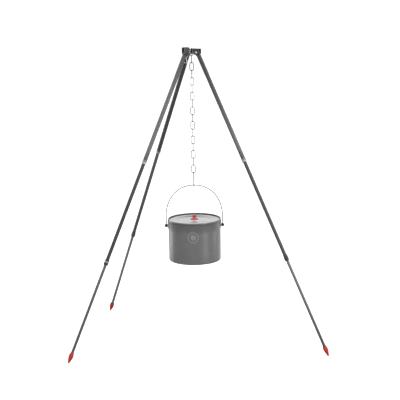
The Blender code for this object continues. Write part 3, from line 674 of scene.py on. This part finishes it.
def make_chain(mats):
    """Two links to a pair, edge on and then face on, each a bent wire with a weld in one side."""
    quarter = Matrix.Rotation(math.radians(90), 4, "Z")
    for pair in range(1, LINK_PAIRS + 1):
        low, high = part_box(f"chain_links_{pair}")
        reach = high.z - low.z - 2 * LINK_WIRE
        length = (reach + LINK_TOUCH) / 2
        points = oval_points(LINK_WIDTH, length, 20)
        bm = sweep(bmesh.new(), points, LINK_WIRE, closed=True, matrix=quarter)
        sweep(bm, points, LINK_WIRE, closed=True, matrix=Matrix.Translation((0, 0, LINK_TOUCH - length)))
        side = LINK_WIDTH / 2
        weld = [(0, -0.0016), (0.00165, -0.0015), (0.00190, -0.0006)]
        weld += [(0.00192, 0.0006), (0.00165, 0.0015), (0, 0.0016)]
        lathe(bm, weld, 16, quarter @ Matrix.Translation((side, 0, -length / 2)))
        lathe(bm, weld, 16, Matrix.Translation((side, 0, LINK_TOUCH - 1.5 * length)))
        finish_mesh(f"chain_pair_{pair}", bm, on_plumb(high.z - LINK_WIRE), mats["chain"], f"chain_{pair}",
                    [f"chain_links_{pair}"])


def make_pot_hook(mats):
    low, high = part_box("pot_hook")
    top, bottom = high.z - HOOK_WIRE, low.z + HOOK_WIRE
    upper = arc((0, top - HOOK_BOW), HOOK_BOW, -35, 165, 20)
    lower = arc((0, bottom + HOOK_BOW), HOOK_BOW, -15, -215, 20)
    points = [(0, u, v) for u, v in upper + lower]
    finish_mesh("pot_hook_fine", sweep(bmesh.new(), points, HOOK_WIRE), on_plumb(0), mats["hook"], "pot_hook",
                ["pot_hook"])


# ---------------------------------------------------------------- bail, pot and lid


def bail_points(apex):
    corner = 0.0045
    half = BAIL_HALF_WIDTH
    right = [(BAIL_END, 0.0), (BAIL_END + 0.0015, 0.0), (half - corner, 0.0)]
    right += arc((half - corner, corner), corner, -75, 0, 6)
    right += [(half, 0.012), (half, 0.020), (half, 0.030), (half, BAIL_SHOULDER)]
    steps = 40
    for i in range(1, steps):
        turn = math.pi / 2 * i / steps
        rise = (apex - BAIL_SHOULDER) * math.sin(turn) ** BAIL_CURVE
        right.append((half * math.cos(turn) ** BAIL_CURVE, BAIL_SHOULDER + rise))
    path = right + [(0.0, apex)] + [(-x, z) for x, z in right[::-1]]
    return [(x, 0.0, z) for x, z in path]


def make_bail(mats):
    apex = CHAIN_FOOT.z - EAR_HEIGHT
    bm = sweep(bmesh.new(), bail_points(apex), BAIL_WIRE)
    finish_mesh("bail_wire", bm, on_plumb(EAR_HEIGHT), mats["bail"], "bail", ["bail"])
    start = EAR_FACE + EAR_PLATE + GAP
    profile = [(0, start), (0.0050, start), (0.0056, start + 0.0003)]
    profile += [(0.0056 + 0.0021 * math.sin(t), start + 0.0050 - 0.0046 * math.cos(t))
                for t in (math.radians(a) for a in range(15, 91, 15))]
    profile += [(0.0077 * math.cos(t), start + 0.0066 + 0.0066 * math.sin(t))
                for t in (math.radians(a) for a in range(4, 85, 10))]
    profile += [(0, start + 0.0133)]
    for name, hand in (("bail_stop_left", -90), ("bail_stop_right", 90)):
        bm = lathe(bmesh.new(), profile, 32, Matrix.Rotation(math.radians(hand), 4, "Y"))
        finish_mesh(name + "_fine", bm, on_plumb(EAR_HEIGHT), mats["stop"], "bail", [name])


def make_pot(mats):
    low, high = POT_LOW - EAR_HEIGHT, POT_HIGH - EAR_HEIGHT
    centre = (POT_BOTTOM_RADIUS - POT_FILLET, low + POT_FILLET)
    bead = high - 0.0075
    outer = [(0, low), (centre[0] * 0.5, low), (centre[0] - 0.002, low)]
    outer += arc(centre, POT_FILLET, -80, 0, 10)
    spread = POT_TOP_RADIUS - POT_BOTTOM_RADIUS
    outer += [(POT_BOTTOM_RADIUS + spread * share, centre[1] + (bead - centre[1]) * share)
              for share in (0.25, 0.5, 0.75, 1.0)]
    roll = 0.0012
    outer += arc((POT_RIM_RADIUS - roll, bead + 0.0016), roll, -60, 0, 4)
    outer += arc((POT_RIM_RADIUS - roll, high - roll), roll, 0, 90, 5)
    bore = POT_TOP_RADIUS - POT_WALL
    ledge = LID_TOP - LID_SHEET - GAP - EAR_HEIGHT
    inner = arc((bore + 0.0004 + roll, high - roll), roll, 90, 180, 4)
    inner += [(bore + 0.0002, ledge), (0.1122, ledge), (0.1122, ledge - 0.0030), (bore, ledge - 0.0050)]
    inner += arc(centre, POT_FILLET - POT_WALL, 0, -90, 8)
    inner += [(0, low + POT_WALL)]
    bm = lathe(bmesh.new(), outer + inner, POT_SIDES)
    finish_mesh("pot_shell", bm, on_plumb(EAR_HEIGHT), mats["pot"], "pot", ["pot"])


def make_lid(mats):
    """A stamped plate with a raised rim, a shallow ring and a raised middle under the knob."""
    panel = -LID_DEPTH
    boss = panel + LID_BOSS
    slope = ((0.0205, 0.0), (0.0222, 0.08), (0.0240, 0.30), (0.0256, 0.62), (0.0272, 0.88), (0.0292, 1.0))
    ridge = panel + 0.0003
    upper = [(LID_HOLE, boss)] + [(radius, boss - LID_BOSS * fall) for radius, fall in slope]
    upper += [(0.0600, panel), (0.0610, ridge), (0.0640, ridge), (0.0650, panel), (0.1030, panel)]
    upper += [(0.1046, ridge), (0.1062, -0.0004), (LID_RIM_INSIDE, 0), (LID_RADIUS - 0.0008, 0)]
    lower = [(LID_RADIUS, -0.0007), (LID_RADIUS - 0.0004, -LID_SHEET), (LID_RIM_INSIDE, -LID_SHEET)]
    lower += [(0.1060, panel - LID_SHEET)]
    lower += [(radius - 0.0010, boss - LID_SHEET - LID_BOSS * fall) for radius, fall in slope[::-1]]
    lower += [(LID_HOLE, boss - LID_SHEET)]
    bm = lathe(bmesh.new(), upper + lower, POT_SIDES)
    finish_mesh("lid_plate", bm, on_plumb(LID_TOP), mats["lid"], "lid", ["lid"])
    base = boss + GAP
    knob = [(0, base + 0.0118), (LID_HOLE, base + 0.0118), (LID_HOLE, base), (0.0168, base)]
    knob += arc((0.0168, base + 0.0010), 0.0010, -70, 50, 5)
    curve = [(0.0158, 0.0032), (0.0134, 0.0045), (0.0110, 0.0060), (0.0091, 0.0077), (0.0077, 0.0097),
             (0.0070, 0.0118), (0.0068, 0.0138), (0.0071, 0.0158), (0.0077, 0.0174)]
    knob += [(radius, base + height) for radius, height in curve]
    knob += arc((0.0058, base + 0.0185), 0.0022, 0, 90, 6)
    knob += [(0, base + 0.0207)]
    finish_mesh("lid_knob_fine", lathe(bmesh.new(), knob, 64), on_plumb(LID_TOP), mats["knob"], "lid",
                ["lid_knob"])


def make_rivets(mats):
    """Two domed rivets through each flange of each ear."""
    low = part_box("ear_right")[0]
    bm = bmesh.new()
    start = POT_TOP_RADIUS + EAR_PLATE + GAP
    dome = [(0, start - 0.0006), (0.0026, start - 0.0006), (0.0026, start)]
    dome += [(0.0024, start + 0.0006), (0.0017, start + 0.0010), (0, start + 0.0013)]
    for hand in (0, 180):
        for turn in (-9.2, 9.2):
            for height in (low.z + 0.0075, low.z + 0.0245):
                spin = Matrix.Rotation(math.radians(hand + turn), 4, "Z")
                outward = Matrix.Rotation(math.radians(90), 4, "Y")
                lathe(bm, dome, 20, Matrix.Translation((0, 0, height - EAR_HEIGHT)) @ spin @ outward)
    finish_mesh("ear_rivets", bm, on_plumb(EAR_HEIGHT), mats["steel"], "pot")


# ---------------------------------------------------------------- carried-over nodes


def soften(node, width, mat):
    """Keeps a CAD node, with its own material and rounded edges."""
    obj = frame["nodes"][node]
    obj.data.materials.clear()
    obj.data.materials.append(mat)
    obj.data.shade_smooth()
    if not width:
        return
    bevel = obj.modifiers.new("edges", "BEVEL")
    bevel.width = width
    bevel.segments = 2
    bevel.limit_method = "ANGLE"
    bevel.angle_limit = math.radians(35)
    bevel.harden_normals = True


def make_pivot_pin(name, mats):
    """A rivet through a bracket. The right one is bright steel, a painted highlight; the others are painted
    with the head.
    """
    node = "pivot_pin_" + name
    side = PIN_SIDE
    profile = [(0, -side - 0.0022), (PIN_RADIUS, -side - 0.0020), (0.0044, -side - 0.0012)]
    profile += [(PIN_HEAD_RADIUS, -side), (PIN_RADIUS, -side), (PIN_RADIUS, side), (PIN_HEAD_RADIUS, side)]
    profile += [(PIN_HEAD_RADIUS, side + 0.0010), (0.0047, side + 0.0019), (0.0038, side + 0.0027)]
    profile += [(0.0022, side + 0.0031), (0, side + 0.0032)]
    x = leg_matrix(name).col[0].to_3d()
    up = Vector((0, 0, 1))
    upright = Matrix((x, up.cross(x), up)).transposed().to_4x4()
    turn = Matrix.Rotation(math.radians(90 * button_side(name)), 4, "Y")
    place = Matrix.Translation(place_of(f"leg_{name}_spread")) @ upright @ turn
    # The right rivet's bright steel is a painted highlight; the three rivets are alike.
    mat = mats["steel" if name == "right" else "head"]
    finish_mesh(node + "_fine", lathe(bmesh.new(), profile, 36), place, mat, "head", [node])


# ---------------------------------------------------------------- light, floor and camera


def make_floor():
    bm = bmesh.new()
    bmesh.ops.create_circle(bm, cap_ends=True, radius=14.0, segments=96)
    mesh = bpy.data.meshes.new("floor")
    bm.to_mesh(mesh)
    bm.free()
    mesh.materials.append(floor_finish())
    floor = bpy.data.objects.new("floor", mesh)
    floor.location.z = -0.0004
    bpy.context.scene.collection.objects.link(floor)
    floor.visible_diffuse = False
    floor.visible_glossy = False


def area_light(name, place, aim, width, height, power):
    data = bpy.data.lights.new(name, "AREA")
    data.shape = "RECTANGLE"
    data.size, data.size_y = width, height
    data.energy = power
    light = bpy.data.objects.new(name, data)
    bpy.context.scene.collection.objects.link(light)
    light.location = place
    light.visible_camera = False
    light.rotation_mode = "QUATERNION"
    light.rotation_quaternion = (Vector(place) - Vector(aim)).to_track_quat("Z", "Y")


def studio_world():
    """A soft studio: a pale band at eye level, dim walls, a bright ceiling and a pale backdrop behind."""
    world = bpy.data.worlds.new("studio")
    world.use_nodes = True
    nodes, links = world.node_tree.nodes, world.node_tree.links
    split = nodes.new("ShaderNodeSeparateXYZ")
    links.new(nodes.new("ShaderNodeTexCoord").outputs["Generated"], split.inputs[0])
    spread = nodes.new("ShaderNodeMapRange")
    spread.inputs["From Min"].default_value = -1.0
    links.new(split.outputs["Z"], spread.inputs["Value"])
    ramp = nodes.new("ShaderNodeValToRGB")
    stops = [(0.0, 0.15), (0.42, 0.12), (0.445, 0.55), (0.56, 0.55)]
    stops += [(0.61, 0.14), (0.72, 0.20), (0.85, 0.75), (1.0, 0.85)]
    elements = ramp.color_ramp.elements
    for index, (place, tone) in enumerate(stops):
        stop = elements[index] if index < 2 else elements.new(place)
        stop.position = place
        stop.color = (tone, tone, tone, 1.0)
    links.new(spread.outputs[0], ramp.inputs[0])
    behind = nodes.new("ShaderNodeMapRange")
    behind.inputs["From Min"].default_value = 0.35
    behind.inputs["From Max"].default_value = 0.75
    links.new(split.outputs["Y"], behind.inputs["Value"])
    backdrop = nodes.new("ShaderNodeMix")
    backdrop.data_type = "RGBA"
    backdrop.blend_type = "LIGHTEN"
    links.new(behind.outputs[0], backdrop.inputs[0])
    links.new(ramp.outputs["Color"], backdrop.inputs[6])
    backdrop.inputs[7].default_value = (0.5, 0.5, 0.5, 1.0)
    background = nodes["Background"]
    links.new(backdrop.outputs[2], background.inputs["Color"])
    background.inputs["Strength"].default_value = 2.0
    return world


def light_scene():
    scene = bpy.context.scene
    scene.world = studio_world()
    scene.view_settings.view_transform = "Standard"
    area_light("strip_left", (-2.5, 1.5, 0.9), (0, 0, 0.6), 1.3, 2.4, 25)
    area_light("strip_right", (3.0, 0.35, 0.9), (0, 0, 0.6), 0.5, 2.4, 9)
    area_light("strip_front", (2.10, -2.05, 0.9), (0, 0, 0.6), 0.22, 2.4, 20)


def make_camera():
    data = bpy.data.cameras.new("camera")
    data.lens, data.sensor_width = 103.5, 36.0
    camera = bpy.data.objects.new("camera", data)
    bpy.context.scene.collection.objects.link(camera)
    pitch, roll = math.radians(11.11), math.radians(0.97)
    camera.matrix_world = (
        Matrix.Translation(PLUMB + Vector((0.0266, -5.046, 1.636)))
        @ Matrix.Rotation(math.pi / 2 - pitch, 4, "X")
        @ Matrix.Rotation(-roll, 4, "Z")
    )
    data.clip_end = 60
    bpy.context.scene.camera = camera


# ---------------------------------------------------------------- build


def main():
    mats = {
        "head": head_paint(),
        "steel": plated_steel("plated_steel", (0.93, 0.93, 0.93), 0.34).mat,
        "hook": plated_steel("hook_steel", (0.150, 0.150, 0.152), 0.44, 0.6, 0.25).mat,
        "bail": plated_steel("bail_steel", (0.22, 0.22, 0.22), 0.48, 0.6, 0.25).mat,
        "button": plated_steel("button_steel", (0.20, 0.20, 0.20), 0.40).mat,
        "chain": plated_steel("chain_steel", (0.150, 0.150, 0.152), 0.44, 0.6, 0.25).mat,
        "plug": moulded_plastic("plug_black", (0.014, 0.014, 0.014), (0.024, 0.024, 0.023), 0.42).mat,
        "stop": stop_plastic(),
        "pot": pot_body_finish(),
        "lid": lid_finish(),
        "knob": knob_plastic(),
        "ear": plated_steel("ear_aluminium", (0.60, 0.60, 0.60), 0.38).mat,
    }
    make_camera()
    for name in LEGS:
        make_leg(name, mats)
        make_pivot_pin(name, mats)
        soften("bracket_" + name, 0.0004, mats["head"])
        soften(f"leg_{name}_top_plug", 0.0003, mats["plug"])
        soften(f"leg_{name}_upper_spring", 0, mats["steel"])
        soften(f"leg_{name}_lower_spring", 0, mats["steel"])
    soften("hub", 0.0004, mats["head"])
    soften("take_up_hook", 0, mats["steel"])
    soften("lid_screw", 0, mats["steel"])
    soften("ear_left", 0.0003, mats["ear"])
    soften("ear_right", 0.0003, mats["ear"])
    make_ring(mats)
    make_chain(mats)
    make_pot_hook(mats)
    make_bail(mats)
    make_pot(mats)
    make_lid(mats)
    make_rivets(mats)
    make_floor()
    light_scene()


main()
